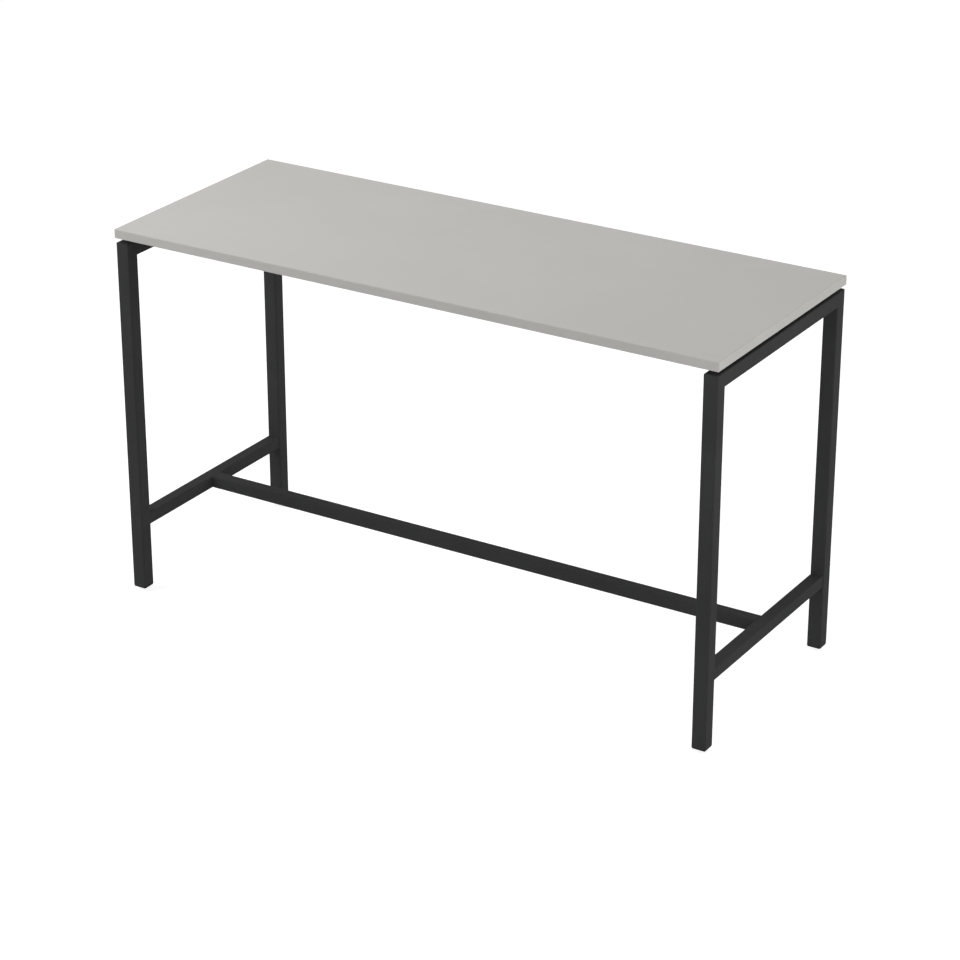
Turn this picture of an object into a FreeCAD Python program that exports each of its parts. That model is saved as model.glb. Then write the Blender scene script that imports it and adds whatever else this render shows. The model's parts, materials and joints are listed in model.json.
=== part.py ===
import FreeCAD, Part
import math
import os

# A standing-height meeting table. An edged board lies a shadow gap above two closed end frames
# of square tube, which a footrest bar and two beams under the board hold apart.
# Millimetres. +X runs along the table, +Y to its rear and +Z up, and the origin is the floor
# point below the middle of the board.

# Overall size
table_length = 1800.0
table_depth = 700.0
table_height = 1050.0

# Board and its edging
top_thickness = 25.0
strip_thickness = 2.0
strip_arris = 1.5             # radius along the edging's upper and lower edges
strip_corner = 2.0            # radius of the top's corners, seen from above

# Legs and top rails
frame_setback = 2.0           # from the top's edge in to the frame's outer faces
shadow_gap = 12.0             # from the frame up to the board
leg_size = 40.0
leg_wall = 2.0
leg_radius = 4.0

# Crossbars and footrest bar
bar_size = 35.0
bar_wall = 2.0
bar_radius = 3.0
bar_height = 200.0            # from the floor to the centre line

# Beams under the board, and the plates that bolt them to the rails
beam_width = 20.0
beam_height = 40.0
beam_wall = 2.0
beam_radius = 3.0
beam_setback = 158.0          # from the frame's front or rear face to the beam's centre line
plate_width = 72.0
plate_thickness = 4.0
plate_bolt_pitch = 50.0

# Where the board is screwed down: distance from each end of a rail or a beam
rail_fixing_end = 98.0
beam_fixing_end = 104.0
spacer_diameter = 20.0

# Threaded inserts in the board, and how far below its end a screw may stop
insert_diameter = 12.0
insert_length = 15.0
insert_hole_spare = 1.0
screw_tip_spare = 2.0

# Rivet nuts in the rails
rivet_nut_diameter = 11.0
rivet_nut_length = 15.5
rivet_nut_bulb = 13.5         # diameter of the collar folded behind the tube's wall
rivet_nut_bulb_length = 3.0

# Spigots that the footrest bar slides over
spigot_length = 70.0
spigot_wall = 3.0
spigot_radius = 3.5
spigot_screw_place = 45.0     # from the crossbar's face to the screw
spigot_nut_width = 10.0       # across flats
spigot_nut_height = 5.0
footrest_screw_length = 12.0

# Levelling feet
foot_travel = 10.0
pad_inset = 1.0               # from the leg's faces in to the pad's
pad_thickness = 3.0
pad_corner = 3.0
pad_rim = 0.5                 # radius round the pad's underside
pad_boss_diameter = 20.0
pad_boss_height = 6.0
pad_lip = 12.2                # opening that the stud's collar snaps past
pad_lip_height = 1.2
pad_mouth = 14.0              # opening at the top of the boss
collar_diameter = 13.0
collar_height = 3.0
foot_nut_diameter = 14.0
foot_nut_length = 12.0
foot_key = 4.0                # hexagon socket across flats
foot_key_depth = 4.0
stud_spare = 5.0              # stud still above the nut when the foot is right out

# Plugs in the legs' lower ends
plug_base = 10.0              # thickness of the plug's full-width base
plug_web = 1.5                # between the pad's recess and the nut
plug_core = 24.0
plug_corner = 2.5
plug_rib = 1.6
plug_rib_count = 3

# Fasteners
m6 = {"shank": 6.0, "head": 10.5, "head_height": 3.3, "key": 4.0, "washer": 18.0}
m8 = {"shank": 8.0, "head": 14.0, "head_height": 4.4, "key": 5.0, "washer": 16.0}
washer_thickness = 1.6
key_depth_share = 0.6         # of a head's height that its hexagon socket takes
head_round_share = 0.6        # of a head's height that its rounded rim takes

# Clearances on the radius, or on each flat side
thread_clearance = 0.05
hole_clearance = 0.5
slide_clearance = 0.2
recess_clearance = 0.5

# Levels and places that follow from the sizes above
board_underside = table_height - top_thickness
frame_top = board_underside - shadow_gap
frame_length = table_length - 2 * frame_setback
frame_depth = table_depth - 2 * frame_setback
leg_x = (frame_length - leg_size) / 2
leg_y = (frame_depth - leg_size) / 2
rail_face_x = leg_x - leg_size / 2
crossbar_face_x = leg_x - bar_size / 2
beam_y = frame_depth / 2 - beam_setback
beam_end_x = rail_face_x - plate_thickness
beam_middle_z = frame_top - beam_height / 2
rail_fixing_y = frame_depth / 2 - rail_fixing_end
beam_fixing_x = beam_end_x - beam_fixing_end
spigot_screw_x = crossbar_face_x - spigot_screw_place
bar_underside = bar_height - bar_size / 2
collar_floor = pad_thickness + thread_clearance
foot_nut_floor = pad_thickness + pad_boss_height + recess_clearance + plug_web
stud_top = foot_nut_floor + foot_nut_length + foot_travel + stud_spare

sides = {"left": -1, "right": 1}
ends = {"front": -1, "rear": 1}
corners = [(end, side) for end in ends for side in sides]

vector = FreeCAD.Vector
up = vector(0, 0, 1)


def aim(shape, direction, place):
    """Turn a shape made along +Z to point along a direction, with its foot at a place."""
    aimed = shape.copy()
    aimed.Placement = FreeCAD.Placement(place, FreeCAD.Rotation(up, direction))
    return aimed


def rounded_bar(width, depth, length, radius):
    """A bar along +Z from the origin, with its four long edges rounded."""
    bar = Part.makeBox(width, depth, length, vector(-width / 2, -depth / 2, 0))
    long_edges = [edge for edge in bar.Edges if abs(edge.tangentAt(0).z) > 0.5]
    return bar.makeFillet(radius, long_edges)


def square_tube(width, depth, length, wall, radius):
    """A hollow bar along +Z from the origin, open at both ends."""
    bore = rounded_bar(width - 2 * wall, depth - 2 * wall, length, radius - wall)
    return rounded_bar(width, depth, length, radius).cut(bore)


def round_bar(diameter, length, start=0.0):
    """A cylinder along +Z on the Z axis, from a starting height."""
    return Part.makeCylinder(diameter / 2, length, vector(0, 0, start))


def ring(outer, inner, length):
    return round_bar(outer, length).cut(round_bar(inner, length))


def hexagon(across_flats, length, start=0.0):
    """A six-sided bar along +Z on the Z axis, from a starting height."""
    reach = across_flats / math.sqrt(3)
    points = []
    for step in range(6):
        turn = math.radians(60 * step)
        points.append(vector(reach * math.cos(turn), reach * math.sin(turn), start))
    outline = Part.makePolygon(points + points[:1])
    return Part.Face(outline).extrude(vector(0, 0, length))


def bored(shape, diameter, direction, places):
    """Cut a hole of the given diameter right through a shape at each place."""
    reach = table_length
    for place in places:
        hole = round_bar(diameter, 2 * reach, -reach)
        shape = shape.cut(aim(hole, direction, place))
    return shape


def mitred(tube, side, cut_top):
    """Cut a tube at 45 degrees where a leg meets the end of a top rail.

    The plane starts at the frame's top outer corner and falls towards the table's middle.
    """
    outer_y = frame_depth / 2
    far_y = side * (outer_y + leg_size)
    near_y = side * (outer_y - 2 * leg_size)
    far_z = frame_top + leg_size
    near_z = frame_top - 2 * leg_size
    third = (near_y, far_z) if cut_top else (far_y, near_z)
    outline = []
    for y, z in [(far_y, far_z), (near_y, near_z), third]:
        outline.append(vector(-table_length, y, z))
    face = Part.Face(Part.makePolygon(outline + outline[:1]))
    return tube.cut(face.extrude(vector(2 * table_length, 0, 0)))


def button_screw(size, length):
    """A domed screw with a hexagon socket: the head lies below the origin, the shank above."""
    height = size["head_height"]
    head = round_bar(size["head"], height, -height)
    rim = [edge for edge in head.Edges if abs(edge.BoundBox.ZMax + height) < 0.01]
    head = head.makeFillet(head_round_share * height, rim)
    head = head.cut(hexagon(size["key"], key_depth_share * height, -height))
    return head.fuse(round_bar(size["shank"], length)).removeSplitter()


def washer(size):
    return ring(size["washer"], size["shank"] + 2 * hole_clearance, washer_thickness)


def insert_hole():
    diameter = insert_diameter + 2 * thread_clearance
    return round_bar(diameter, insert_length + insert_hole_spare)


def rivet_nut():
    """A rivet nut along +Z, flush with the wall's outer face, its collar behind the wall."""
    barrel = round_bar(rivet_nut_diameter, rivet_nut_length)
    bulb = round_bar(rivet_nut_bulb, rivet_nut_bulb_length, leg_wall)
    thread = round_bar(m8["shank"] + 2 * thread_clearance, rivet_nut_length)
    return barrel.fuse(bulb).cut(thread).removeSplitter()


def rail_fixings():
    return [vector(s * leg_x, y, 0) for s in sides.values() for y in (-rail_fixing_y, 0, rail_fixing_y)]


def beam_fixings():
    return [vector(x, s * beam_y, 0) for s in ends.values() for x in (-beam_fixing_x, 0, beam_fixing_x)]


def plate_bolts():
    """Each bolt's place on a rail's inner face, and the way it points."""
    bolts = []
    for side in sides.values():
        for end in ends.values():
            for offset in (-plate_bolt_pitch / 2, plate_bolt_pitch / 2):
                place = vector(side * rail_face_x, end * beam_y + offset, beam_middle_z)
                bolts.append((place, vector(side, 0, 0)))
    return bolts


def top_board():
    board = Part.makeBox(table_length - 2 * strip_thickness, table_depth - 2 * strip_thickness,
                         top_thickness)
    board.translate(vector(strip_thickness - table_length / 2,
                           strip_thickness - table_depth / 2, board_underside))
    for place in rail_fixings() + beam_fixings():
        board = board.cut(aim(insert_hole(), up, place + up * board_underside))
    return board


def edge_strips():
    """Edging round the board: the front and rear strips cover the side strips' ends."""
    outline = rounded_bar(table_length, table_depth, top_thickness, strip_corner)
    level_edges = [edge for edge in outline.Edges if edge.BoundBox.ZLength < 0.01]
    outline = outline.makeFillet(strip_arris, level_edges)
    outline.translate(up * board_underside)
    side_length = table_depth - 2 * strip_thickness
    strips = {}
    for name, away in ends.items():
        window = Part.makeBox(table_length, strip_thickness, top_thickness)
        low_y = away * (table_depth - strip_thickness) / 2 - strip_thickness / 2
        window.translate(vector(-table_length / 2, low_y, board_underside))
        strips[name + "_edge_strip"] = outline.common(window)
    for name, away in sides.items():
        window = Part.makeBox(strip_thickness, side_length, top_thickness)
        low_x = away * (table_length - strip_thickness) / 2 - strip_thickness / 2
        window.translate(vector(low_x, -side_length / 2, board_underside))
        strips[name + "_edge_strip"] = outline.common(window)
    return strips


def leg(end, side):
    length = frame_top - pad_thickness
    tube = square_tube(leg_size, leg_size, length, leg_wall, leg_radius)
    place = vector(sides[side] * leg_x, ends[end] * leg_y, pad_thickness)
    return mitred(aim(tube, up, place), ends[end], cut_top=True)


def top_rail(side):
    tube = square_tube(leg_size, leg_size, frame_depth, leg_wall, leg_radius)
    place = vector(sides[side] * leg_x, -frame_depth / 2, frame_top - leg_size / 2)
    rail = aim(tube, vector(0, 1, 0), place)
    for end in ends.values():
        rail = mitred(rail, end, cut_top=False)
    own_fixings = [place for place in rail_fixings() if place.x * sides[side] > 0]
    rail = bored(rail, m6["shank"] + 2 * hole_clearance, up, own_fixings)
    nut_hole = round_bar(rivet_nut_diameter + 2 * thread_clearance, 2 * leg_wall, -leg_wall / 2)
    for place, direction in plate_bolts():
        if direction.x == sides[side]:
            rail = rail.cut(aim(nut_hole, direction, place))
    return rail


def crossbar(side):
    length = frame_depth - 2 * leg_size
    tube = square_tube(bar_size, bar_size, length, bar_wall, bar_radius)
    return aim(tube, vector(0, 1, 0), vector(sides[side] * leg_x, -length / 2, bar_height))


def footrest_bar():
    length = 2 * crossbar_face_x
    tube = square_tube(bar_size, bar_size, length, bar_wall, bar_radius)
    bar = aim(tube, vector(1, 0, 0), vector(-length / 2, 0, bar_height))
    hole = round_bar(m6["shank"] + 2 * hole_clearance, 2 * bar_wall, -bar_wall / 2)
    for side in sides.values():
        bar = bar.cut(aim(hole, up, vector(side * spigot_screw_x, 0, bar_underside)))
    return bar


def spigot(side):
    size = bar_size - 2 * bar_wall - 2 * slide_clearance
    tube = square_tube(size, size, spigot_length, spigot_wall, spigot_radius)
    inward = vector(-sides[side], 0, 0)
    piece = aim(tube, inward, vector(sides[side] * crossbar_face_x, 0, bar_height))
    hole = round_bar(m6["shank"] + 2 * thread_clearance, 2 * spigot_wall, -spigot_wall / 2)
    place = vector(sides[side] * spigot_screw_x, 0, bar_height - size / 2)
    return piece.cut(aim(hole, up, place))


def spigot_nuts():
    bore = m6["shank"] + 2 * thread_clearance
    nut = hexagon(spigot_nut_width, spigot_nut_height).cut(round_bar(bore, spigot_nut_height))
    floor = bar_underside + bar_wall + slide_clearance + spigot_wall
    return [aim(nut, up, vector(side * spigot_screw_x, 0, floor)) for side in sides.values()]


def footrest_screws():
    screw = button_screw(m6, footrest_screw_length)
    return [aim(screw, up, vector(side * spigot_screw_x, 0, bar_underside)) for side in sides.values()]


def beam(end):
    tube = square_tube(beam_height, beam_width, 2 * beam_end_x, beam_wall, beam_radius)
    piece = aim(tube, vector(1, 0, 0), vector(-beam_end_x, ends[end] * beam_y, beam_middle_z))
    own_fixings = [place for place in beam_fixings() if place.y * ends[end] > 0]
    return bored(piece, m6["shank"] + 2 * hole_clearance, up, own_fixings)


def beam_plate(end, side):
    plate = Part.makeBox(plate_thickness, plate_width, beam_height)
    low_x = beam_end_x if sides[side] > 0 else -rail_face_x
    plate.translate(vector(low_x, ends[end] * beam_y - plate_width / 2, frame_top - beam_height))
    hole = round_bar(m8["shank"] + 2 * hole_clearance, 4 * plate_thickness, -2 * plate_thickness)
    for place, direction in plate_bolts():
        plate = plate.cut(aim(hole, direction, place))
    return plate


def beam_washers():
    return [aim(washer(m8), way, place - way * (plate_thickness + washer_thickness))
            for place, way in plate_bolts()]


def beam_bolts():
    """Each bolt passes its washer and plate and ends with the rivet nut."""
    stack = washer_thickness + plate_thickness
    bolt = button_screw(m8, stack + rivet_nut_length - screw_tip_spare)
    return [aim(bolt, way, place - way * stack) for place, way in plate_bolts()]


def rivet_nuts():
    return [aim(rivet_nut(), way, place) for place, way in plate_bolts()]


def spacers():
    spacer = ring(spacer_diameter, m6["shank"] + 2 * hole_clearance, shadow_gap)
    return [aim(spacer, up, place + up * frame_top) for place in rail_fixings() + beam_fixings()]


def board_inserts():
    insert = ring(insert_diameter, m6["shank"] + 2 * thread_clearance, insert_length)
    return [aim(insert, up, place + up * board_underside)
            for place in rail_fixings() + beam_fixings()]


def board_screws(fixings, tube_height):
    """Screws up through a tube and its spacer into the board's inserts."""
    length = washer_thickness + tube_height + shadow_gap + insert_length - screw_tip_spare
    head_level = frame_top - tube_height - washer_thickness
    return [aim(button_screw(m6, length), up, place + up * head_level) for place in fixings]


def board_washers():
    under_rails = [place + up * (frame_top - leg_size - washer_thickness) for place in rail_fixings()]
    under_beams = [place + up * (frame_top - beam_height - washer_thickness) for place in beam_fixings()]
    return [aim(washer(m6), up, place) for place in under_rails + under_beams]


def leg_plug():
    """A ribbed plug that fills the leg's end, with a recess for the pad and a seat for the nut."""
    width = leg_size - 2 * leg_wall - 2 * slide_clearance
    height = stud_top - pad_thickness
    plug = rounded_bar(width, width, plug_base, plug_corner)
    plug = plug.fuse(rounded_bar(plug_core, plug_core, height, plug_corner))
    rib_pitch = (height - plug_base) / plug_rib_count
    for number in range(1, plug_rib_count + 1):
        rib = rounded_bar(width, width, plug_rib, plug_corner)
        rib.translate(up * (plug_base + number * rib_pitch - plug_rib))
        plug = plug.fuse(rib)
    recess_depth = pad_boss_height + recess_clearance
    plug = plug.cut(round_bar(pad_boss_diameter + 2 * recess_clearance, recess_depth))
    plug = plug.cut(round_bar(m8["shank"] + 2 * hole_clearance, height))
    seat = round_bar(foot_nut_diameter + 2 * thread_clearance, foot_nut_length, recess_depth + plug_web)
    return plug.cut(seat).removeSplitter()


def foot_nut():
    return ring(foot_nut_diameter, m8["shank"] + 2 * thread_clearance, foot_nut_length)


def foot_stud():
    """A levelling stud from its collar up, turned from below with a hexagon key."""
    stud = round_bar(collar_diameter, collar_height, collar_floor)
    stud = stud.fuse(round_bar(m8["shank"], stud_top - collar_floor, collar_floor))
    return stud.cut(hexagon(foot_key, foot_key_depth, collar_floor)).removeSplitter()


def foot_pad():
    """A square pad whose boss holds the stud's collar, open below for the key."""
    width = leg_size - 2 * pad_inset
    plate = rounded_bar(width, width, pad_thickness, pad_corner)
    rim = [edge for edge in plate.Edges if edge.BoundBox.ZMax < 0.01]
    pad = plate.makeFillet(pad_rim, rim)
    pad = pad.fuse(round_bar(pad_boss_diameter, pad_boss_height, pad_thickness))
    pocket_height = collar_height + 2 * thread_clearance
    pad = pad.cut(round_bar(collar_diameter + 2 * thread_clearance, pocket_height, pad_thickness))
    lip_floor = pad_thickness + pocket_height
    pad = pad.cut(round_bar(pad_lip, pad_lip_height, lip_floor))
    mouth_floor = lip_floor + pad_lip_height
    mouth = Part.makeCone(pad_lip / 2, pad_mouth / 2, pad_thickness + pad_boss_height - mouth_floor,
                          vector(0, 0, mouth_floor))
    key_hole = round_bar(foot_key * 2 / math.sqrt(3) + 2 * hole_clearance, pad_thickness)
    return pad.cut(mouth).cut(key_hole).removeSplitter()


def save(name, solids):
    """Write one node: a single solid, or a group of separate ones."""
    shape = Part.makeCompound(solids) if isinstance(solids, list) else solids
    shape.exportStep("parts/" + name + ".step")


os.makedirs("parts", exist_ok=True)

save("top_board", top_board())
for name, strip in edge_strips().items():
    save(name, strip)
save("board_inserts", board_inserts())
save("board_spacers", spacers())
save("rail_screws", board_screws(rail_fixings(), leg_size))
save("beam_screws", board_screws(beam_fixings(), beam_height))
save("board_washers", board_washers())

for side in sides:
    save(side + "_top_rail", top_rail(side))
    save(side + "_crossbar", crossbar(side))
    save(side + "_spigot", spigot(side))
for end in ends:
    save(end + "_beam", beam(end))
save("footrest_bar", footrest_bar())
save("footrest_screws", footrest_screws())
save("spigot_nuts", spigot_nuts())
save("beam_bolts", beam_bolts())
save("beam_washers", beam_washers())
save("rivet_nuts", rivet_nuts())

for end, side in corners:
    corner = end + "_" + side
    foot = vector(sides[side] * leg_x, ends[end] * leg_y, 0)
    save(corner + "_leg", leg(end, side))
    save(corner + "_beam_plate", beam_plate(end, side))
    save(corner + "_plug", aim(leg_plug(), up, foot + up * pad_thickness))
    save(corner + "_foot_nut", aim(foot_nut(), up, foot + up * foot_nut_floor))
    save(corner + "_foot_stud", aim(foot_stud(), up, foot))
    save(corner + "_foot_pad", aim(foot_pad(), up, foot))
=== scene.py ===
import json
from math import ceil, cos, pi, radians, sin, sqrt
from random import Random

import bmesh
import bpy
from mathutils import Matrix, Vector

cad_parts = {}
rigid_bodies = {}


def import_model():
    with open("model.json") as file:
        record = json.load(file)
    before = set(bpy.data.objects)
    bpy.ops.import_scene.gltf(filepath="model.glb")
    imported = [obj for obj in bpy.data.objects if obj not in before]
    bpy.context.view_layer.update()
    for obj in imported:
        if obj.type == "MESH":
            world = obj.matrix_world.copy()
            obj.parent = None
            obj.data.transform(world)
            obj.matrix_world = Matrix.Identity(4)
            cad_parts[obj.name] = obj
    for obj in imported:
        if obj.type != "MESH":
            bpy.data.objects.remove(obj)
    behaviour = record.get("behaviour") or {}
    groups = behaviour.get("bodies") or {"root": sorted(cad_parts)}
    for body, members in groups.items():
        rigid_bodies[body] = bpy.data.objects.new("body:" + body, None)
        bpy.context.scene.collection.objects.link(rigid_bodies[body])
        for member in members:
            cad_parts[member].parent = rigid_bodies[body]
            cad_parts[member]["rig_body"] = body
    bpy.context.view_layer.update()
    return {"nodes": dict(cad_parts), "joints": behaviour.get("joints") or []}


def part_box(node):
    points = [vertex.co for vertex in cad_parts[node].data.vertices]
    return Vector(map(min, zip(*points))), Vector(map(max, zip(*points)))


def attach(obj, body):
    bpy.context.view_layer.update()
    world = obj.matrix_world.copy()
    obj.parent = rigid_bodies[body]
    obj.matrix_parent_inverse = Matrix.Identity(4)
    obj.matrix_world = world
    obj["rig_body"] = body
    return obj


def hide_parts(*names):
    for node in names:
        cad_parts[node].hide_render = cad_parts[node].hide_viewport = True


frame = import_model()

# Standing meeting table: an edged grey board on two square-tube end frames, tied by a footrest
# bar. Lengths in the pieces' dictionaries are millimetres, and are turned to metres where they
# are used. The sizes of a finish's pattern, the camera's place and the stage are in metres.

mm = 0.001
nodes = frame["nodes"]
slotOf = {name: node.material_slots[0].material.name for name, node in nodes.items()}
ends = {"front": -1, "rear": 1}
sides = {"left": -1, "right": 1}
corners = [end + "_" + side for end in ends for side in sides]
print("frame loaded:", len(nodes), "nodes")


# Camera: in front and to the right, and well above the top

cameraSet = {
    "place": (3.873, -6.229, 3.689),
    "turn": 31.73,      # degrees to the left of straight on
    "tip": 24.14,       # degrees below level
    "lens": 112.5,
    "sensor": 36.0,
    "farthest": 200.0,  # metres that it can see
}


def makeCamera():
    lens = bpy.data.cameras.new("studio_camera")
    lens.sensor_width = cameraSet["sensor"]
    lens.lens = cameraSet["lens"]
    lens.clip_end = cameraSet["farthest"]
    camera = bpy.data.objects.new("studio_camera", lens)
    camera.location = cameraSet["place"]
    camera.rotation_euler = (radians(90 - cameraSet["tip"]), 0, radians(cameraSet["turn"]))
    bpy.context.scene.collection.objects.link(camera)
    bpy.context.scene.camera = camera


makeCamera()
print("camera set")


# Shader helpers

nodeLayout = {      # rows of nodes in the shader editor
    "inRow": 9,
    "across": 180,
    "down": -260,
}


def addNode(tree, kind, values=None, **settings):
    node = tree.nodes.new(kind)
    row, column = divmod(len(tree.nodes), nodeLayout["inRow"])
    node.location = (nodeLayout["across"] * column, nodeLayout["down"] * row)
    for name, value in settings.items():
        setattr(node, name, value)
    for name, value in (values or {}).items():
        node.inputs[name].default_value = value
    return node


def startGroup(name, inputs, outputs):
    group = bpy.data.node_groups.new(name, "ShaderNodeTree")
    for label, kind, value in inputs:
        socket = group.interface.new_socket(name=label, in_out="INPUT", socket_type=kind)
        socket.default_value = value
    for label, kind in outputs:
        group.interface.new_socket(name=label, in_out="OUTPUT", socket_type=kind)
    return group, addNode(group, "NodeGroupInput"), addNode(group, "NodeGroupOutput")


def useGroup(tree, group, values):
    return addNode(tree, "ShaderNodeGroup", values, node_tree=group)


def feed(tree, sockets, values):
    # each value is another node's output or a plain number or colour
    for socket, value in zip(sockets, values):
        if isinstance(value, bpy.types.NodeSocket):
            tree.links.new(value, socket)
        else:
            socket.default_value = value


def mathNode(tree, operation, first, second, clamp=False):
    node = addNode(tree, "ShaderNodeMath", operation=operation, use_clamp=clamp)
    feed(tree, node.inputs, (first, second))
    return node.outputs["Value"]


def mixColours(tree, mask, first, second):
    node = addNode(tree, "ShaderNodeMix", data_type="RGBA")
    # a colour mix keeps its colour sockets after the float and vector ones
    feed(tree, (node.inputs[0], node.inputs[6], node.inputs[7]), (mask, first, second))
    return node.outputs[2]


def grey(level, warm=0.0, yellow=0.0):
    # warm trades blue for red, and yellow takes more of the blue away
    return (level * (1 + warm), level, level * (1 - warm - yellow), 1.0)


# Groups that several finishes share

groupSet = {
    "pebbleBlend": 0.6,             # how far neighbouring pebbles run together
    "toneSpan": (0.32, 0.68),       # part of the noise that runs from the dark tone to the light one
    "rubSamples": 4,
    "rubGain": 3.0,                 # how soon a turned surface counts as an edge
    "rubSpan": (0.35, 0.65),        # part of the noise that breaks a rubbed edge up
    "streakSquash": 0.12,           # of a streak's width, so that it runs long
    "streakTurn": 14,               # degrees off the table's length
    "patchScale": 4.0,              # dull patches in a metre
}


def makeGrainGroup():
    # raised pebbles of one size with a finer noise on them, as a height from 0 to 1
    group, given, out = startGroup("pebbledGrain", [
        ("Pebble Size", "NodeSocketFloat", 0.0008),
        ("Fine Size", "NodeSocketFloat", 0.0002),
        ("Fine Share", "NodeSocketFloat", 0.3),
    ], [("Height", "NodeSocketFloat")])
    place = addNode(group, "ShaderNodeTexCoord")
    blend = {"Smoothness": groupSet["pebbleBlend"]}
    pebbles = addNode(group, "ShaderNodeTexVoronoi", blend, feature="SMOOTH_F1")
    fine = addNode(group, "ShaderNodeTexNoise", {"Detail": 2.0})
    link = group.links.new
    for texture, size in ((pebbles, "Pebble Size"), (fine, "Fine Size")):
        link(place.outputs["Object"], texture.inputs["Vector"])
        link(mathNode(group, "DIVIDE", 1.0, given.outputs[size]), texture.inputs["Scale"])
    domes = mathNode(group, "SUBTRACT", 1.0, pebbles.outputs["Distance"], clamp=True)
    share = given.outputs["Fine Share"]
    coarsePart = mathNode(group, "MULTIPLY", domes, mathNode(group, "SUBTRACT", 1.0, share))
    finePart = mathNode(group, "MULTIPLY", fine.outputs["Fac"], share)
    link(mathNode(group, "ADD", coarsePart, finePart), out.inputs["Height"])
    return group


def makeDriftGroup():
    # slow, cloudy change between two near colours, with a fine speckle on top
    group, given, out = startGroup("toneDrift", [
        ("Light", "NodeSocketColor", grey(0.5)),
        ("Dark", "NodeSocketColor", grey(0.4)),
        ("Cloud Size", "NodeSocketFloat", 0.2),
        ("Speck Size", "NodeSocketFloat", 0.001),
        ("Speck Share", "NodeSocketFloat", 0.2),
    ], [("Color", "NodeSocketColor")])
    place = addNode(group, "ShaderNodeTexCoord")
    clouds = addNode(group, "ShaderNodeTexNoise", {"Detail": 3.0, "Roughness": 0.6})
    specks = addNode(group, "ShaderNodeTexNoise", {"Detail": 1.0})
    link = group.links.new
    for texture, size in ((clouds, "Cloud Size"), (specks, "Speck Size")):
        link(place.outputs["Object"], texture.inputs["Vector"])
        link(mathNode(group, "DIVIDE", 1.0, given.outputs[size]), texture.inputs["Scale"])
    share = given.outputs["Speck Share"]
    cloudShare = mathNode(group, "SUBTRACT", 1.0, share)
    cloudPart = mathNode(group, "MULTIPLY", clouds.outputs["Fac"], cloudShare)
    speckPart = mathNode(group, "MULTIPLY", specks.outputs["Fac"], share)
    low, high = groupSet["toneSpan"]
    steep = addNode(group, "ShaderNodeMapRange", {"From Min": low, "From Max": high})
    link(mathNode(group, "ADD", cloudPart, speckPart), steep.inputs["Value"])
    dark, light = given.outputs["Dark"], given.outputs["Light"]
    link(mixColours(group, steep.outputs["Result"], dark, light), out.inputs["Color"])
    return group


def makeWearGroup():
    # mask along outer edges, where a coat is thin or a corner is rubbed
    group, given, out = startGroup("edgeRub", [
        ("Radius", "NodeSocketFloat", 0.0012),
        ("Break Size", "NodeSocketFloat", 0.01),
    ], [("Mask", "NodeSocketFloat")])
    link = group.links.new
    rounded = addNode(group, "ShaderNodeBevel", samples=groupSet["rubSamples"])
    link(given.outputs["Radius"], rounded.inputs["Radius"])
    surface = addNode(group, "ShaderNodeNewGeometry")
    alike = addNode(group, "ShaderNodeVectorMath", operation="DOT_PRODUCT")
    link(rounded.outputs["Normal"], alike.inputs[0])
    link(surface.outputs["Normal"], alike.inputs[1])
    turned = mathNode(group, "SUBTRACT", 1.0, alike.outputs["Value"])
    edge = mathNode(group, "MULTIPLY", turned, groupSet["rubGain"], clamp=True)
    place = addNode(group, "ShaderNodeTexCoord")
    breaks = addNode(group, "ShaderNodeTexNoise", {"Detail": 4.0, "Roughness": 0.7})
    link(place.outputs["Object"], breaks.inputs["Vector"])
    link(mathNode(group, "DIVIDE", 1.0, given.outputs["Break Size"]), breaks.inputs["Scale"])
    low, high = groupSet["rubSpan"]
    patchy = addNode(group, "ShaderNodeMapRange", {"From Min": low, "From Max": high})
    link(breaks.outputs["Fac"], patchy.inputs["Value"])
    link(mathNode(group, "MULTIPLY", edge, patchy.outputs["Result"]), out.inputs["Mask"])
    return group


def makeWipeGroup():
    # roughness of a surface that has been wiped: long faint streaks and a few duller patches
    group, given, out = startGroup("wipeMarks", [
        ("Roughness", "NodeSocketFloat", 0.5),
        ("Spread", "NodeSocketFloat", 0.06),
        ("Streak Size", "NodeSocketFloat", 0.02),
    ], [("Roughness", "NodeSocketFloat")])
    link = group.links.new
    place = addNode(group, "ShaderNodeTexCoord")
    along = addNode(group, "ShaderNodeMapping", {
        "Scale": (groupSet["streakSquash"], 1.0, 1.0),
        "Rotation": (0, 0, radians(groupSet["streakTurn"])),
    })
    link(place.outputs["Object"], along.inputs["Vector"])
    streaks = addNode(group, "ShaderNodeTexNoise", {"Detail": 3.0, "Distortion": 0.4})
    link(along.outputs["Vector"], streaks.inputs["Vector"])
    link(mathNode(group, "DIVIDE", 1.0, given.outputs["Streak Size"]), streaks.inputs["Scale"])
    patches = addNode(group, "ShaderNodeTexNoise", {"Scale": groupSet["patchScale"], "Detail": 2.0})
    link(place.outputs["Object"], patches.inputs["Vector"])
    both = mathNode(group, "ADD", streaks.outputs["Fac"], patches.outputs["Fac"])
    # each noise is about a half, so their sum less 1 swings about nothing
    swing = mathNode(group, "SUBTRACT", both, 1.0)
    offset = mathNode(group, "MULTIPLY", swing, given.outputs["Spread"])
    roughness = mathNode(group, "ADD", given.outputs["Roughness"], offset, clamp=True)
    link(roughness, out.inputs["Roughness"])
    return group


pebbledGrain = makeGrainGroup()
toneDrift = makeDriftGroup()
edgeRub = makeWearGroup()
wipeMarks = makeWipeGroup()
print("shader groups made")


# Finishes

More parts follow.
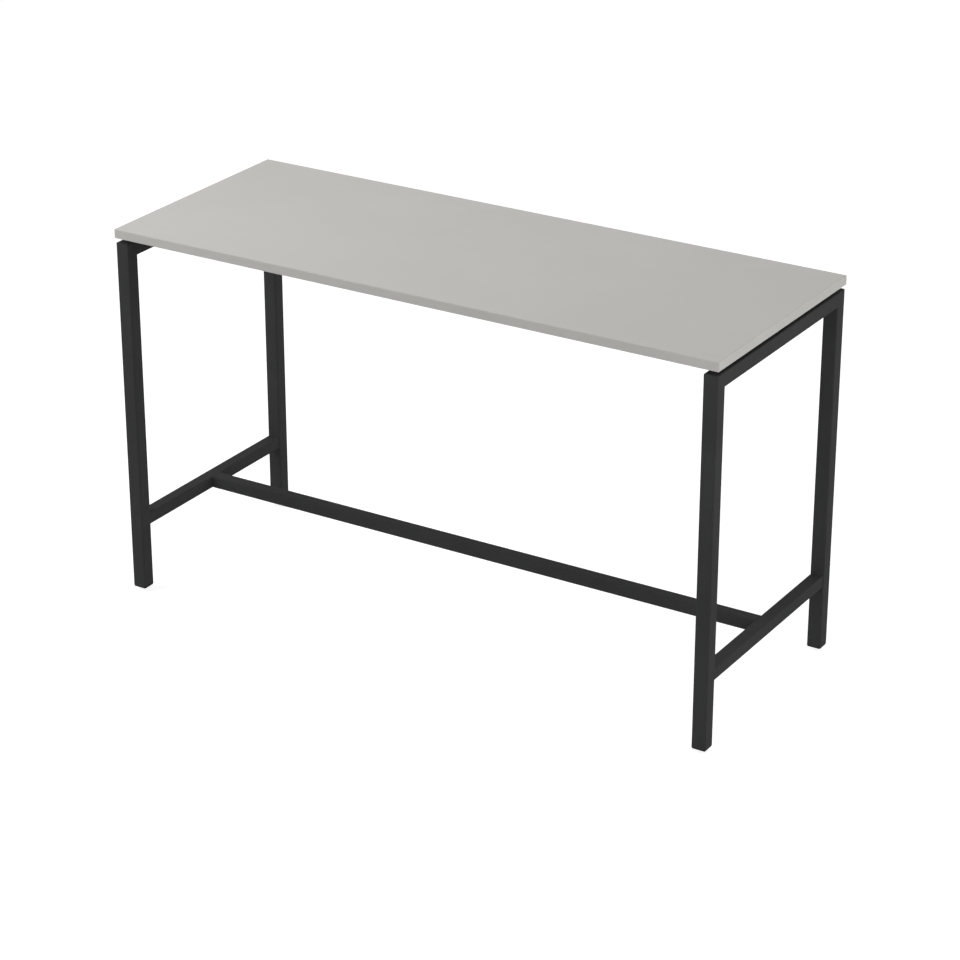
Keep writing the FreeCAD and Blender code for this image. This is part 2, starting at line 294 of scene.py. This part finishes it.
def makeFinish(name, look):
    material = bpy.data.materials.new(name + "_finish")
    material.use_nodes = True
    tree = material.node_tree
    tree.nodes.clear()
    link = tree.links.new
    output = addNode(tree, "ShaderNodeOutputMaterial")
    shader = addNode(tree, "ShaderNodeBsdfPrincipled", look["shader"])
    link(shader.outputs["BSDF"], output.inputs["Surface"])
    tone = useGroup(tree, toneDrift, look["tone"])
    colour = tone.outputs["Color"]
    if "rub" in look:
        rub = useGroup(tree, edgeRub, look["rub"])
        strength = mathNode(tree, "MULTIPLY", rub.outputs["Mask"], look["rubShare"])
        colour = mixColours(tree, strength, colour, look["rubColour"])
    link(colour, shader.inputs["Base Color"])
    wipe = useGroup(tree, wipeMarks, look["wipe"])
    link(wipe.outputs["Roughness"], shader.inputs["Roughness"])
    grain = useGroup(tree, pebbledGrain, look["grain"])
    bump = addNode(tree, "ShaderNodeBump", {
        "Strength": look["bumpStrength"],
        "Distance": look["bumpDepth"] * mm,
    })
    link(grain.outputs["Height"], bump.inputs["Height"])
    link(bump.outputs["Normal"], shader.inputs["Normal"])
    return material


# sizes and the radius of a rubbed edge are metres, and bumpDepth is millimetres
finishes = {
    "board": {      # melamine face, warm light grey, matt with a pearl grain
        "shader": {"IOR": 1.45},
        "tone": {"Light": grey(0.505, 0.028, 0.023), "Dark": grey(0.482, 0.025, 0.023),
                 "Cloud Size": 0.35, "Speck Size": 0.0012, "Speck Share": 0.35},
        "wipe": {"Roughness": 0.56, "Spread": 0.10, "Streak Size": 0.03},
        "grain": {"Pebble Size": 0.0007, "Fine Size": 0.0002, "Fine Share": 0.3},
        "bumpStrength": 0.5, "bumpDepth": 0.03,
    },
    "edging": {     # plastic edging in the board's grey
        "shader": {"IOR": 1.47},
        "tone": {"Light": grey(0.416, 0.019, 0.036), "Dark": grey(0.394, 0.014, 0.036),
                 "Cloud Size": 0.12, "Speck Size": 0.0010, "Speck Share": 0.3},
        "rub": {"Radius": 0.0008, "Break Size": 0.03},
        "rubShare": 0.2, "rubColour": grey(0.52, 0.02),
        "wipe": {"Roughness": 0.36, "Spread": 0.08, "Streak Size": 0.02},
        "grain": {"Pebble Size": 0.0005, "Fine Size": 0.0002, "Fine Share": 0.5},
        "bumpStrength": 0.4, "bumpDepth": 0.02,
    },
    "powder_coat": {    # matt anthracite powder coat with a fine orange peel
        "shader": {"IOR": 1.17},
        "tone": {"Light": grey(0.0440, -0.01), "Dark": grey(0.0270, -0.01), "Cloud Size": 0.15,
                 "Speck Size": 0.0007, "Speck Share": 0.7},
        "rub": {"Radius": 0.0012, "Break Size": 0.02},
        "rubShare": 0.35, "rubColour": grey(0.05),
        "wipe": {"Roughness": 0.80, "Spread": 0.08, "Streak Size": 0.03},
        "grain": {"Pebble Size": 0.0011, "Fine Size": 0.0003, "Fine Share": 0.35},
        "bumpStrength": 1.0, "bumpDepth": 0.12,
    },
    "zinc": {       # bright zinc plate
        "shader": {"Metallic": 1.0},
        "tone": {"Light": grey(0.60, 0.01), "Dark": grey(0.46, -0.01), "Cloud Size": 0.004,
                 "Speck Size": 0.0006, "Speck Share": 0.4},
        "wipe": {"Roughness": 0.34, "Spread": 0.12, "Streak Size": 0.003},
        "grain": {"Pebble Size": 0.0006, "Fine Size": 0.00015, "Fine Share": 0.5},
        "bumpStrength": 0.4, "bumpDepth": 0.01,
    },
    "black_zinc": {     # black passivated zinc, a little blue
        "shader": {"Metallic": 1.0},
        "tone": {"Light": grey(0.085, -0.04), "Dark": grey(0.05, -0.02), "Cloud Size": 0.005,
                 "Speck Size": 0.0006, "Speck Share": 0.4},
        "rub": {"Radius": 0.0004, "Break Size": 0.003},
        "rubShare": 0.6, "rubColour": grey(0.3, 0.02),
        "wipe": {"Roughness": 0.38, "Spread": 0.12, "Streak Size": 0.003},
        "grain": {"Pebble Size": 0.0006, "Fine Size": 0.00015, "Fine Share": 0.5},
        "bumpStrength": 0.4, "bumpDepth": 0.01,
    },
    "black_plastic": {  # moulded nylon with a spark-eroded texture
        "shader": {"IOR": 1.10},
        # near-black tone, darker than nylon really is: partly the pads' own black and partly painted
        # shade for the dark band under each leg
        "tone": {"Light": grey(0.0030), "Dark": grey(0.0015), "Cloud Size": 0.01,
                 "Speck Size": 0.0006, "Speck Share": 0.4},
        "rub": {"Radius": 0.0006, "Break Size": 0.006},
        "rubShare": 0.15, "rubColour": grey(0.03),
        "wipe": {"Roughness": 0.65, "Spread": 0.1, "Streak Size": 0.01},
        "grain": {"Pebble Size": 0.0004, "Fine Size": 0.0001, "Fine Share": 0.5},
        "bumpStrength": 0.6, "bumpDepth": 0.02,
    },
}
materials = {name: makeFinish(name, look) for name, look in finishes.items()}
print("finishes made:", ", ".join(materials))

for name, node in nodes.items():
    node.material_slots[0].material = materials[slotOf[name]]


# Mesh helpers

meshSet = {
    "mergeWithin": 0.001,
    "flatWithin": 0.5,      # degrees between faces that are made one
    "brokenFrom": 40,       # degrees between faces whose edge a maker would break
    "hardFrom": 50,         # degrees between faces that are shaded apart
}


def partsOf(geometry, kind):
    return [part for part in geometry if isinstance(part, kind)]


def mergeDoubles(bm):
    bmesh.ops.remove_doubles(bm, verts=bm.verts, dist=meshSet["mergeWithin"] * mm)


def mergedCopy(node):
    # a node's mesh is loose triangles, so its copy is merged and its flat faces are made whole
    bm = bmesh.new()
    bm.from_mesh(nodes[node].data)
    mergeDoubles(bm)
    flat = radians(meshSet["flatWithin"])
    bmesh.ops.dissolve_limit(bm, angle_limit=flat, verts=bm.verts, edges=bm.edges)
    return bm


def sharpEdges(bm):
    sharp = radians(meshSet["brokenFrom"])
    return [edge for edge in bm.edges if edge.calc_face_angle(0) > sharp]


def breakEdges(bm, edges, width, steps=2):
    bmesh.ops.bevel(bm, geom=edges, offset=width * mm, offset_type="OFFSET", affect="EDGES",
                    segments=steps, profile=0.5, material=-1, clamp_overlap=True)


def roundPlace(radius, level):
    # where a loop of radius 1 goes to have this radius at this level
    return Matrix.Translation((0, 0, level * mm)) @ Matrix.Diagonal((radius * mm, radius * mm, 1, 1))


def addLoop(bm, segments, place):
    known = set(bm.edges)
    bmesh.ops.create_circle(bm, cap_ends=False, radius=1, segments=segments, matrix=place)
    return [edge for edge in bm.edges if edge not in known]


def sweepLoop(bm, loop, places):
    # carries a loop of edges on from its first place through all the others
    last = places[0]
    for place in places[1:]:
        made = bmesh.ops.extrude_edge_only(bm, edges=loop)["geom"]
        verts = partsOf(made, bmesh.types.BMVert)
        fresh = set(verts)
        loop = [edge for edge in partsOf(made, bmesh.types.BMEdge) if fresh.issuperset(edge.verts)]
        bmesh.ops.transform(bm, matrix=place @ last.inverted(), verts=verts)
        last = place
    return loop


def joinInto(bm, other, place):
    # adds a copy of one mesh to another, at a placement
    known = len(bm.verts)
    pattern = bpy.data.meshes.new("pattern")
    other.to_mesh(pattern)
    bm.from_mesh(pattern)
    bpy.data.meshes.remove(pattern)
    bmesh.ops.transform(bm, matrix=place, verts=bm.verts[known:])


def repeatAt(single, places):
    group = bmesh.new()
    for place in places:
        joinInto(group, single, place)
    single.free()
    return group


def solidBoxes(node):
    # lowest and highest corner of each separate solid in a node
    bm = mergedCopy(node)
    boxes = []
    for start in bm.verts:
        if start.tag:
            continue
        start.tag = True
        found = [start]
        for vert in found:      # the list grows while it is read
            for edge in vert.link_edges:
                other = edge.other_vert(vert)
                if not other.tag:
                    other.tag = True
                    found.append(other)
        low = Vector([min(vert.co[axis] for vert in found) for axis in range(3)])
        high = Vector([max(vert.co[axis] for vert in found) for axis in range(3)])
        boxes.append((low, high))
    bm.free()
    return boxes


def hangPiece(bm, name, node, replaced=True):
    # closes a mesh, turns its faces outwards and gives it the body and finish of a node
    mergeDoubles(bm)
    bmesh.ops.recalc_face_normals(bm, faces=bm.faces)
    mesh = bpy.data.meshes.new(name)
    bm.to_mesh(mesh)
    bm.free()
    if "custom_normal" in mesh.attributes:      # left over from the node
        mesh.attributes.remove(mesh.attributes["custom_normal"])
    mesh.shade_smooth()
    mesh.set_sharp_from_angle(angle=radians(meshSet["hardFrom"]))
    mesh.materials.clear()
    mesh.materials.append(materials[slotOf[node]])
    piece = bpy.data.objects.new(name, mesh)
    bpy.context.scene.collection.objects.link(piece)
    piece.modifiers.new("even_normals", "WEIGHTED_NORMAL").keep_sharp = True
    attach(piece, nodes[node]["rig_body"])
    if replaced:
        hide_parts(node)


def makeSoftened(node, name, edge, steps=3):
    item = mergedCopy(node)
    breakEdges(item, sharpEdges(item), edge, steps)
    hangPiece(item, name, node)


# Board and edging

boardSet = {
    "boardEdge": 0.15,      # broken edge of the faced board, a hairline beside the edging
    "bandEdge": 0.12,       # cut ends and inner edges of the edging
}


def makeBoard():
    makeSoftened("top_board", "board_panel", boardSet["boardEdge"], steps=2)
    for place in list(ends) + list(sides):
        makeSoftened(place + "_edge_strip", place + "_edge_band", boardSet["bandEdge"], steps=2)


makeBoard()
print("board and edging made")


# Frame tubes

tubeSet = {
    "cutEdge": 0.4,         # deburred edges under the coat
    "plateEdge": 0.7,
    "mitreWithin": 0.05,    # how near an edge lies to the mitre to be on it
}
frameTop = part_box("left_top_rail")[1].z
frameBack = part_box("left_top_rail")[1].y


def onMitre(edge):
    # legs and rails are welded at the mitre and ground flush, so those edges stay closed
    middle = (edge.verts[0].co + edge.verts[1].co) / 2
    inwards, downwards = frameBack - abs(middle.y), frameTop - middle.z
    return abs(inwards - downwards) < tubeSet["mitreWithin"] * mm


def makeTube(node, name):
    tube = mergedCopy(node)
    cut = [edge for edge in sharpEdges(tube) if not onMitre(edge)]
    breakEdges(tube, cut, tubeSet["cutEdge"])
    hangPiece(tube, name, node)


def makeFrame():
    for corner in corners:
        makeTube(corner + "_leg", corner + "_leg_tube")
        makeSoftened(corner + "_beam_plate", corner + "_beam_end_plate", tubeSet["plateEdge"])
    for side in sides:
        makeTube(side + "_top_rail", side + "_rail_tube")
        makeTube(side + "_crossbar", side + "_crossbar_tube")
        makeTube(side + "_spigot", side + "_spigot_tube")
    for end in ends:
        makeTube(end + "_beam", end + "_beam_tube")
    makeTube("footrest_bar", "footrest_tube")


makeFrame()
print("frame tubes made")


# Weld beads

weldSet = {
    "size": 1.4,            # radius of the bead
    "sink": 0.3,            # how far its middle lies inside both parts
    "facets": 10,
    "ripple": 1.8,          # length of one ripple along the bead
    "swell": (0.96, 1.02, 1.05, 1.02),      # size at the four steps of a ripple
    "barCorner": 3.0,       # corner radius of the crossbars
    "endTaper": (0.35, 0.75, 0.93),
    "reach": 0.8,           # of the tube's width, for a straight bead
}


def addBeadEnd(bm):
    # round section of a bead that will run along Y
    size = weldSet["size"] * mm
    place = Matrix.Rotation(pi / 2, 4, "X") @ Matrix.Diagonal((size, size, 1, 1))
    return addLoop(bm, weldSet["facets"], place)


def rippled(places):
    swell = weldSet["swell"]
    return [place @ Matrix.Scale(swell[number % len(swell)], 4) for number, place in enumerate(places)]


def wholeRipples(length):
    # number of steps that a stretch takes, in whole ripples
    steps = len(weldSet["swell"])
    return steps * max(1, round(length / (weldSet["ripple"] * mm)))


def placesAround(width, depth, radius):
    # placements round a rounded rectangle about the Z axis, back to the first one
    places = []
    for quarter in range(4):
        turn = Matrix.Rotation(quarter * pi / 2, 4, "Z")
        across, along = (width, depth) if quarter % 2 == 0 else (depth, width)
        straight = along - 2 * radius
        steps = wholeRipples(straight)
        for number in range(steps):
            places.append(turn @ Matrix.Translation((across / 2, straight * (number / steps - 0.5), 0)))
        middle = Matrix.Translation((across / 2 - radius, straight / 2, 0))
        steps = wholeRipples(radius * pi / 2)
        for number in range(steps):
            bend = Matrix.Rotation(pi / 2 * number / steps, 4, "Z")
            places.append(turn @ middle @ bend @ Matrix.Translation((radius, 0, 0)))
    return places + places[:1]


def makeRingBead(width, depth, radius):
    bm = bmesh.new()
    loop = addBeadEnd(bm)
    places = rippled(placesAround(width, depth, radius))
    bmesh.ops.transform(bm, matrix=places[0], verts=bm.verts)
    sweepLoop(bm, loop, places)
    return bm


def makeStraightBead(length):
    bm = bmesh.new()
    first = addBeadEnd(bm)
    steps = wholeRipples(length)
    marks = [length * (number / steps - 0.5) for number in range(steps + 1)]
    places = rippled([Matrix.Translation((0, mark, 0)) for mark in marks])
    for number, share in enumerate(weldSet["endTaper"]):
        places[number] = places[number] @ Matrix.Scale(share, 4)
        places[-1 - number] = places[-1 - number] @ Matrix.Scale(share, 4)
    bmesh.ops.transform(bm, matrix=places[0], verts=bm.verts)
    last = sweepLoop(bm, first, places)
    bmesh.ops.holes_fill(bm, edges=first + last, sides=0)
    return bm


def makeWelds():
    sink = weldSet["sink"] * mm
    flat = Matrix.Rotation(pi / 2, 4, "X")
    along = Matrix.Rotation(-pi / 2, 4, "Z")
    for side in sides:
        low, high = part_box(side + "_crossbar")
        middle, size = (low + high) / 2, high - low
        bead = makeRingBead(size.x - 2 * sink, size.z - 2 * sink, weldSet["barCorner"] * mm - sink)
        places = [Matrix.Translation((middle.x, y, middle.z)) @ flat
                  for y in (low.y - sink, high.y + sink)]
        hangPiece(repeatAt(bead, places), side + "_crossbar_welds", side + "_crossbar", replaced=False)
        # across the inside of each mitred corner
        low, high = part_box(side + "_top_rail")
        middle, size = (low + high) / 2, high - low
        bead = makeStraightBead(size.x * weldSet["reach"])
        inside = frameBack - size.z + sink
        places = [Matrix.Translation((middle.x, end * inside, low.z + sink)) @ along
                  for end in ends.values()]
        hangPiece(repeatAt(bead, places), side + "_corner_welds", side + "_top_rail", replaced=False)
    for end in ends:
        low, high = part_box(end + "_beam")
        middle, size = (low + high) / 2, high - low
        bead = makeStraightBead(size.z * weldSet["reach"])
        places = [Matrix.Translation((x, y, middle.z)) @ flat
                  for x in (low.x - sink, high.x + sink) for y in (low.y + sink, high.y - sink)]
        hangPiece(repeatAt(bead, places), end + "_beam_welds", end + "_beam", replaced=False)


makeWelds()
print("welds laid")


# Threads and hexagon sockets

threadSet = {
    "rootDepth": 0.613,     # of the pitch
    "flanks": (4 / 16, 9 / 16, 11 / 16),    # of the pitch, where root, flank and crest end
    "runUp": 1.37,          # pitches, so that no corner of the tooth lies in a cutting plane
    "perTurn": 20,
    "overlap": 0.3,         # thread's start inside the shank
    "tipEase": 0.5,         # chamfer at the thread's end
}
socketSet = {
    "facets": 48,
    "ease": 0.3,            # chamfer round the socket
    "floorShare": 0.3,      # drilled cone under the socket, as a share of its width
}


def makeThread(major, pitch, bottom, top):
    # one tooth climbs round the Z axis, and both ends are then cut square and closed
    crest = major / 2
    root = crest - threadSet["rootDepth"] * pitch
    rootEnd, flankEnd, crestEnd = [share * pitch for share in threadSet["flanks"]]
    tooth = [(root, 0), (root, rootEnd), (crest, flankEnd), (crest, crestEnd), (root, pitch)]
    start = bottom - threadSet["runUp"] * pitch
    turnCount = ceil((top - start) / pitch) + 1
    bm = bmesh.new()
    verts = [bm.verts.new((radius * mm, 0, (start + level) * mm)) for radius, level in tooth]
    edges = [bm.edges.new(pair) for pair in zip(verts, verts[1:])]
    perTurn = threadSet["perTurn"]
    bmesh.ops.spin(bm, geom=verts + edges, cent=(0, 0, 0), axis=(0, 0, 1), angle=2 * pi * turnCount,
                   steps=turnCount * perTurn, dvec=(0, 0, pitch * mm / perTurn), use_merge=False)
    mergeDoubles(bm)
    ease = threadSet["tipEase"]
    for level, keepAbove in ((bottom, True), (top - ease, False)):
        geom = bm.verts[:] + bm.edges[:] + bm.faces[:]
        cut = bmesh.ops.bisect_plane(bm, geom=geom, plane_co=(0, 0, level * mm), plane_no=(0, 0, 1),
                                     clear_inner=keepAbove, clear_outer=not keepAbove)["geom_cut"]
        cap = bmesh.ops.holes_fill(bm, edges=partsOf(cut, bmesh.types.BMEdge), sides=0)["faces"]
    # the last cap is the thread's tip, and is drawn out into its chamfer
    bmesh.ops.recalc_face_normals(bm, faces=bm.faces)
    bmesh.ops.inset_individual(bm, faces=cap, thickness=ease * mm, depth=ease * mm)
    return bm


def makeHead(profile, key, depth):
    # turned from a shank's end outwards and down to a flat, with a hexagon socket in the flat;
    # a hexagon's corners lie at its width over the square root of 3
    bm = bmesh.new()
    places = [roundPlace(radius, level) for radius, level in profile]
    shankEnd = addLoop(bm, socketSet["facets"], places[0])
    flat = sweepLoop(bm, shankEnd, places)
    bmesh.ops.holes_fill(bm, edges=shankEnd, sides=0)
    level, ease = profile[-1][1], socketSet["ease"]
    mouth = roundPlace((key + 2 * ease) / sqrt(3), level)
    rim = addLoop(bm, 6, mouth)
    bmesh.ops.subdivide_edges(bm, edges=rim, cuts=socketSet["facets"] // 6 - 1)
    rim = [edge for edge in bm.edges if edge.is_wire]
    bmesh.ops.bridge_loops(bm, edges=flat + rim)
    corner = key / sqrt(3)
    bottom = level + depth
    floor = sweepLoop(bm, rim, [
        mouth,
        roundPlace(corner, level + ease),
        roundPlace(corner, bottom),
        roundPlace(corner * socketSet["floorShare"], bottom + ease),
    ])
    bmesh.ops.holes_fill(bm, edges=floor, sides=0)
    return bm


# Domed screws: the head lies below the origin and the shank above it

screwSizes = {
    "m6": {"major": 6.0, "pitch": 1.0, "head": 10.5, "rise": 3.3, "key": 4.0},
    "m8": {"major": 8.0, "pitch": 1.25, "head": 14.0, "rise": 4.4, "key": 5.0},
}
screwShape = {
    "thread": 24.0,         # longest thread
    "plain": 1.2,           # shortest plain neck under the head
    "ease": 0.25,
    "rim": 0.22,            # of the head's height that is straight
    "domeSteps": 7,
    "land": 0.74,           # radius of the flat round the socket, in keys
    "socketDepth": 0.62,    # of the head's height
    "seed": 11,             # for how far each screw has been turned
}
screwNodes = {
    "rail_screws": ("rail_dome_screws", "m6"),
    "beam_screws": ("beam_dome_screws", "m6"),
    "footrest_screws": ("footrest_dome_screws", "m6"),
    "beam_bolts": ("beam_dome_bolts", "m8"),
}
keyTurns = Random(screwShape["seed"])


def makeScrew(size, length):
    shank, head, rise = size["major"] / 2, size["head"] / 2, size["rise"]
    ease, steps = screwShape["ease"], screwShape["domeSteps"]
    rim, land = screwShape["rim"] * rise, screwShape["land"] * size["key"]
    plain = max(screwShape["plain"], length - screwShape["thread"])
    profile = [(shank - ease, plain), (shank, plain - ease), (shank, ease), (shank + ease, 0),
               (head - ease, 0), (head, -ease), (head, -rim)]
    for step in range(1, steps + 1):
        angle = pi / 2 * step / steps
        profile.append((land + (head - land) * cos(angle), -rim - (rise - rim) * sin(angle)))
    screw = makeHead(profile, size["key"], screwShape["socketDepth"] * rise)
    thread = makeThread(size["major"], size["pitch"], plain - threadSet["overlap"], length)
    joinInto(screw, thread, Matrix())
    return screw


def makeScrews(node, name, size):
    boxes = solidBoxes(node)
    span = boxes[0][1] - boxes[0][0]
    axis = max(range(3), key=lambda number: span[number])
    places = []
    for low, high in boxes:
        # upright screws have their heads below, and level ones towards the table's middle
        way = Vector((0, 0, 1)) if axis == 2 else Vector((1 if low.x > 0 else -1, 0, 0))
        under = (low + high) / 2 + way * (size["rise"] * mm - span[axis] / 2)
        turned = way.to_track_quat("Z", "Y").to_matrix().to_4x4()
        twist = Matrix.Rotation(keyTurns.uniform(0, pi / 3), 4, "Z")
        places.append(Matrix.Translation(under) @ turned @ twist)
    screw = makeScrew(size, span[axis] / mm - size["rise"])
    hangPiece(repeatAt(screw, places), name, node)


for node, (name, size) in screwNodes.items():
    makeScrews(node, name, screwSizes[size])
print("screws made")


# Washers, spacers, nuts and inserts

smallParts = {      # name of the finished piece, and how far its edges are broken
    "board_washers": ("board_washer_discs", 0.25),
    "beam_washers": ("beam_washer_discs", 0.25),
    "board_spacers": ("board_spacer_rings", 0.6),
    "rivet_nuts": ("rivet_nut_barrels", 0.25),
    "board_inserts": ("board_insert_sleeves", 0.4),
    "spigot_nuts": ("spigot_weld_nuts", 0.4),
}


for node, (name, edge) in smallParts.items():
    makeSoftened(node, name, edge)
print("small parts made")


# Levelling feet

padSet = {
    "facets": 64,
    "width": 38.0,
    "corner": 3.0,
    "plate": 3.0,           # thickness of the square plate
    "rim": 0.5,             # radius round the sole
    "rimSteps": 4,
    "ease": 0.4,
    "boss": (10.0, 9.0),    # radius and top
    "mouth": 7.0,           # radius at the top of the boss
    "lip": (6.1, 6.1, 7.3),     # radius, and the levels it runs between
    "pocket": 6.55,         # radius round the stud's collar
    "keyHole": 2.81,        # radius of the hole for a key, up through the sole
    "grooves": ((8.0, 9.4), (11.2, 12.6), (14.4, 15.8)),    # inner and outer radii, in the sole
    "grooveDepth": 0.5,
}
studSet = {
    "major": 8.0,
    "pitch": 1.25,
    "collar": (6.5, 3.0),   # radius and height
    "ease": 0.3,
    "neck": 4.0,            # radius
    "land": 3.1,            # radius of the flat round the socket
    "key": 4.0,
    "keyDepth": 4.0,
}
footEdges = {
    "plug": 0.3,
    "foot_nut": 0.4,
}


def addSquareLoop(bm, corner, segments):
    # outline of a square from -1 to 1 with rounded corners, half of its segments in the corners
    bmesh.ops.create_grid(bm, x_segments=1, y_segments=1, size=1)
    bmesh.ops.bevel(bm, geom=bm.verts[:], offset=corner, offset_type="OFFSET", affect="VERTICES",
                    segments=segments // 8, profile=0.5, material=-1)
    straights = [edge for edge in bm.edges if edge.calc_length() > 1]
    bmesh.ops.subdivide_edges(bm, edges=straights, cuts=segments // 8 - 1)
    bmesh.ops.delete(bm, geom=bm.faces[:], context="FACES_ONLY")
    return bm.edges[:]


def makePad():
    pad = padSet
    half, rim, ease, plate = pad["width"] / 2, pad["rim"], pad["ease"], pad["plate"]
    bm = bmesh.new()
    sole = addSquareLoop(bm, pad["corner"] / half, pad["facets"])
    outline = []
    for step in range(pad["rimSteps"] + 1):
        angle = pi / 2 * step / pad["rimSteps"]
        outline.append((half - rim + rim * sin(angle), rim - rim * cos(angle)))
    outline += [(half, plate - ease), (half - ease, plate)]
    places = [roundPlace(size, level) for size, level in outline]
    bmesh.ops.transform(bm, matrix=places[0], verts=bm.verts)
    shoulder = sweepLoop(bm, sole, places)

    bossRadius, bossTop = pad["boss"]
    lip, lipLow, lipHigh = pad["lip"]
    hole, depth = pad["keyHole"], pad["grooveDepth"]
    turned = [(bossRadius, plate), (bossRadius, bossTop - ease), (bossRadius - ease, bossTop),
              (pad["mouth"], bossTop), (lip, lipHigh), (lip, lipLow), (pad["pocket"], lipLow),
              (pad["pocket"], plate), (hole, plate), (hole, ease), (hole + ease, 0)]
    for inner, outer in pad["grooves"]:
        turned += [(inner, 0), (inner + ease, depth), (outer - ease, depth), (outer, 0)]
    places = [roundPlace(radius, level) for radius, level in turned]
    foot = addLoop(bm, pad["facets"], places[0])
    # bridged before the sweep, so that both loops of the second bridge wind the same way
    bmesh.ops.bridge_loops(bm, edges=shoulder + foot)
    centre = sweepLoop(bm, foot, places)
    bmesh.ops.bridge_loops(bm, edges=sole + centre)
    return bm


def makeStud(bottom, top):
    collar, height = studSet["collar"]
    ease, neck = studSet["ease"], studSet["neck"]
    shoulder = bottom + height
    profile = [(neck - ease, shoulder + ease), (neck, shoulder), (collar - ease, shoulder),
               (collar, shoulder - ease), (collar, bottom + ease), (collar - ease, bottom),
               (studSet["land"], bottom)]
    stud = makeHead(profile, studSet["key"], studSet["keyDepth"])
    thread = makeThread(studSet["major"], studSet["pitch"], shoulder - threadSet["overlap"], top)
    joinInto(stud, thread, Matrix())
    return stud


def makeFoot(corner):
    low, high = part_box(corner + "_foot_stud")
    middle = (low + high) / 2
    place = Matrix.Translation((middle.x, middle.y, 0))
    stud = makeStud(low.z / mm, high.z / mm)
    hangPiece(repeatAt(stud, [place]), corner + "_levelling_stud", corner + "_foot_stud")
    hangPiece(repeatAt(makePad(), [place]), corner + "_floor_pad", corner + "_foot_pad")
    makeSoftened(corner + "_plug", corner + "_leg_end_plug", footEdges["plug"])
    makeSoftened(corner + "_foot_nut", corner + "_stud_nut", footEdges["foot_nut"])


for corner in corners:
    makeFoot(corner)
print("levelling feet made")


# Stage: pale floor that stays white away from the object's shadow, pale sky and soft lamps

stageSet = {
    "floorSize": 60.0,
    "floorColour": 0.50,
    "floorLift": 0.77,          # added for the eye only, so that the lit floor reads as white
    "skyLow": 1.77,             # sky light on the object, at the horizon
    "skyHigh": 0.30,            # and overhead
    "skyFade": 0.6,             # sine of the height where the one has become the other
    "lamps": {      # place, what it points at, size and watts
        "left_softbox": ((-3.0, -1.8, 3.0), (0, 0, 0.9), (2.0, 2.0), 75),
        "top_softbox": ((0, 0, 3.5), (0, 0, 1.0), (3.0, 1.5), 15),
        "right_strip": ((2.4, -1.1, 1.2), (0.9, -0.1, 1.04), (1.0, 0.4), 9.5),
        "rear_softbox": ((2.6, 2.8, 1.3), (0.6, 0, 0.7), (1.5, 1.5), 20),
    },
}


def cameraSees(tree):
    # 1 for the camera's own rays and for those that a gloss or a glass sends on
    path = addNode(tree, "ShaderNodeLightPath")
    direct = mathNode(tree, "ADD", path.outputs["Is Camera Ray"], path.outputs["Is Glossy Ray"])
    return mathNode(tree, "ADD", direct, path.outputs["Is Transmission Ray"], clamp=True)


def makeFloor():
    # as low as the feet reach when they are screwed right out
    reach = max(joint["range_m"][1] for joint in frame["joints"] if joint["type"] == "slide")
    bm = bmesh.new()
    bmesh.ops.create_grid(bm, x_segments=1, y_segments=1, size=stageSet["floorSize"] / 2,
                          matrix=Matrix.Translation((0, 0, -reach)))
    mesh = bpy.data.meshes.new("studio_floor")
    bm.to_mesh(mesh)
    bm.free()
    floor = bpy.data.objects.new("studio_floor", mesh)
    bpy.context.scene.collection.objects.link(floor)
    material = bpy.data.materials.new("pale_floor")
    material.use_nodes = True
    tree = material.node_tree
    tree.nodes.clear()
    output = addNode(tree, "ShaderNodeOutputMaterial")
    matt = addNode(tree, "ShaderNodeBsdfDiffuse", {"Color": grey(stageSet["floorColour"])})
    lift = addNode(tree, "ShaderNodeEmission")
    both = addNode(tree, "ShaderNodeAddShader")
    strength = mathNode(tree, "MULTIPLY", cameraSees(tree), stageSet["floorLift"])
    tree.links.new(strength, lift.inputs["Strength"])
    tree.links.new(matt.outputs["BSDF"], both.inputs[0])
    tree.links.new(lift.outputs["Emission"], both.inputs[1])
    tree.links.new(both.outputs["Shader"], output.inputs["Surface"])
    mesh.materials.append(material)


def makeSky():
    # lights the object mostly from round the horizon, and is plain white to the eye and in a gloss
    world = bpy.data.worlds.new("studio_sky")
    bpy.context.scene.world = world
    world.use_nodes = True
    tree = world.node_tree
    tree.nodes.clear()
    output = addNode(tree, "ShaderNodeOutputWorld")
    sky = addNode(tree, "ShaderNodeBackground", {"Color": grey(1.0)})
    way = addNode(tree, "ShaderNodeTexCoord")
    parts = addNode(tree, "ShaderNodeSeparateXYZ")
    fade = addNode(tree, "ShaderNodeMapRange", {
        "From Min": 0.0, "From Max": stageSet["skyFade"],
        "To Min": stageSet["skyLow"], "To Max": stageSet["skyHigh"],
    }, interpolation_type="SMOOTHSTEP")
    tree.links.new(way.outputs["Generated"], parts.inputs["Vector"])
    tree.links.new(parts.outputs["Z"], fade.inputs["Value"])
    seen = cameraSees(tree)
    unseen = mathNode(tree, "SUBTRACT", 1.0, seen)
    light = mathNode(tree, "MULTIPLY", fade.outputs["Result"], unseen)
    tree.links.new(mathNode(tree, "ADD", light, seen), sky.inputs["Strength"])
    tree.links.new(sky.outputs["Background"], output.inputs["Surface"])


def makeLamps():
    for name, (place, aim, size, power) in stageSet["lamps"].items():
        lamp = bpy.data.lights.new(name, "AREA")
        lamp.shape = "RECTANGLE"
        lamp.size, lamp.size_y = size
        lamp.energy = power
        holder = bpy.data.objects.new(name, lamp)
        holder.location = place
        holder.rotation_euler = (Vector(aim) - Vector(place)).to_track_quat("-Z", "Y").to_euler()
        bpy.context.scene.collection.objects.link(holder)


makeFloor()
makeSky()
makeLamps()
bpy.context.scene.view_settings.view_transform = "Standard"
print("stage set")

print("pieces ready")
